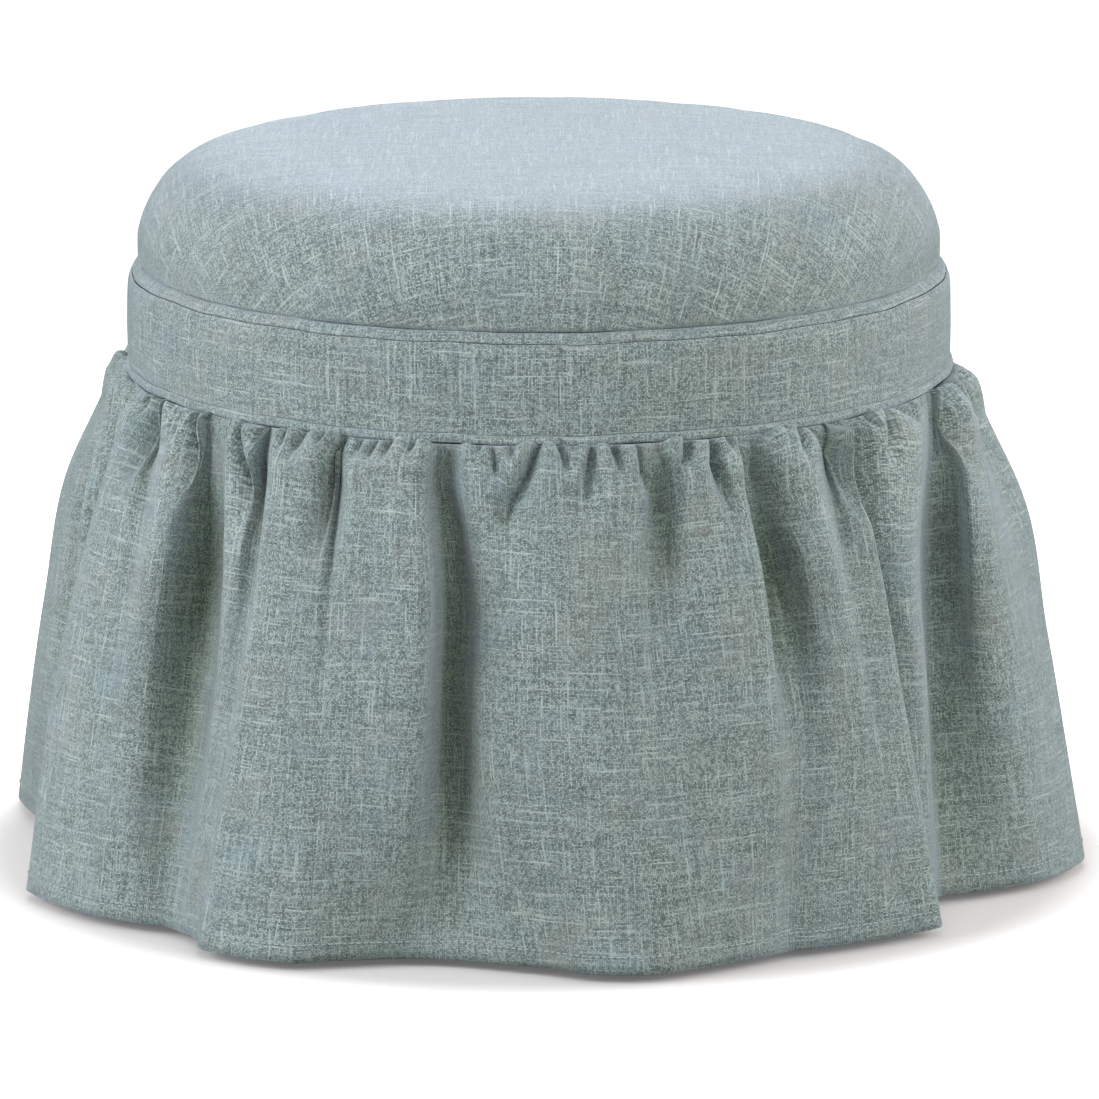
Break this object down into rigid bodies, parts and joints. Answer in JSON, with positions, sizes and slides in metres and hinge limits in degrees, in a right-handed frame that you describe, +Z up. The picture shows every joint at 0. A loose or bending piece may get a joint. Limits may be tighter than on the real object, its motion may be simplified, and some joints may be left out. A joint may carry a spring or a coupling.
{
  "type": "round skirted storage ottoman",
  "caption": "Round upholstered storage ottoman: a padded lid lifts off a lined well, above a plain cloth band and a gathered skirt that hides wooden feet.",
  "frame": {"origin": "on the floor, at the middle of the object's outline and on the axis of its round body", "axes": "+Z up along the body's axis and the way the lid lifts; the pictured front faces -Y"},
  "size_m": [0.6719, 0.6759, 0.4536],
  "materials": {
    "upholstery": "slubby linen-look weave",
    "lining": "plain cotton lining on card",
    "dust_cloth": "black non-woven",
    "foam": "open-cell polyurethane foam",
    "wadding": "polyester wadding",
    "plywood": "sanded birch plywood",
    "pine": "sawn pine",
    "hardboard": "smooth hardboard",
    "foot_wood": "dark stained, satin lacquer",
    "steel": "zinc plated",
    "glide_plastic": "moulded"
  },
  "bodies": {
    "base": {"band_padding": "foam", "band_panel": "upholstery", "dust_cover": "dust_cloth", "floor_panel": "plywood", "foot_1": "foot_wood", "foot_2": "foot_wood", "foot_3": "foot_wood", "foot_4": "foot_wood", "foot_bolt_1": "steel", "foot_bolt_2": "steel", "foot_bolt_3": "steel", "foot_bolt_4": "steel", "glide_1": "glide_plastic", "glide_2": "glide_plastic", "glide_3": "glide_plastic", "glide_4": "glide_plastic", "liner_floor": "lining", "liner_wall": "lining", "outer_wrap": "hardboard", "post_1": "pine", "post_2": "pine", "post_3": "pine", "post_4": "pine", "post_5": "pine", "post_6": "pine", "post_bottom_screw_1": "steel", "post_bottom_screw_2": "steel", "post_bottom_screw_3": "steel", "post_bottom_screw_4": "steel", "post_bottom_screw_5": "steel", "post_bottom_screw_6": "steel", "post_top_screw_1": "steel", "post_top_screw_2": "steel", "post_top_screw_3": "steel", "post_top_screw_4": "steel", "post_top_screw_5": "steel", "post_top_screw_6": "steel", "rim_facing": "upholstery", "skirt": "upholstery", "skirt_header": "upholstery", "tee_nut_1": "steel", "tee_nut_2": "steel", "tee_nut_3": "steel", "tee_nut_4": "steel", "top_ring": "plywood"},
    "lid": {"lid_batting": "wadding", "lid_board": "plywood", "lid_cover": "upholstery", "lid_foam": "foam", "lid_lining": "lining", "lid_plug": "plywood", "plug_screw_1": "steel", "plug_screw_2": "steel", "plug_screw_3": "steel", "plug_screw_4": "steel"}
  },
  "joints": [
    {"name": "lid_lift", "type": "slide", "parent": "base", "child": "lid", "axis": [0, 0, 1], "range_m": [0, 0.35]}
  ]
}
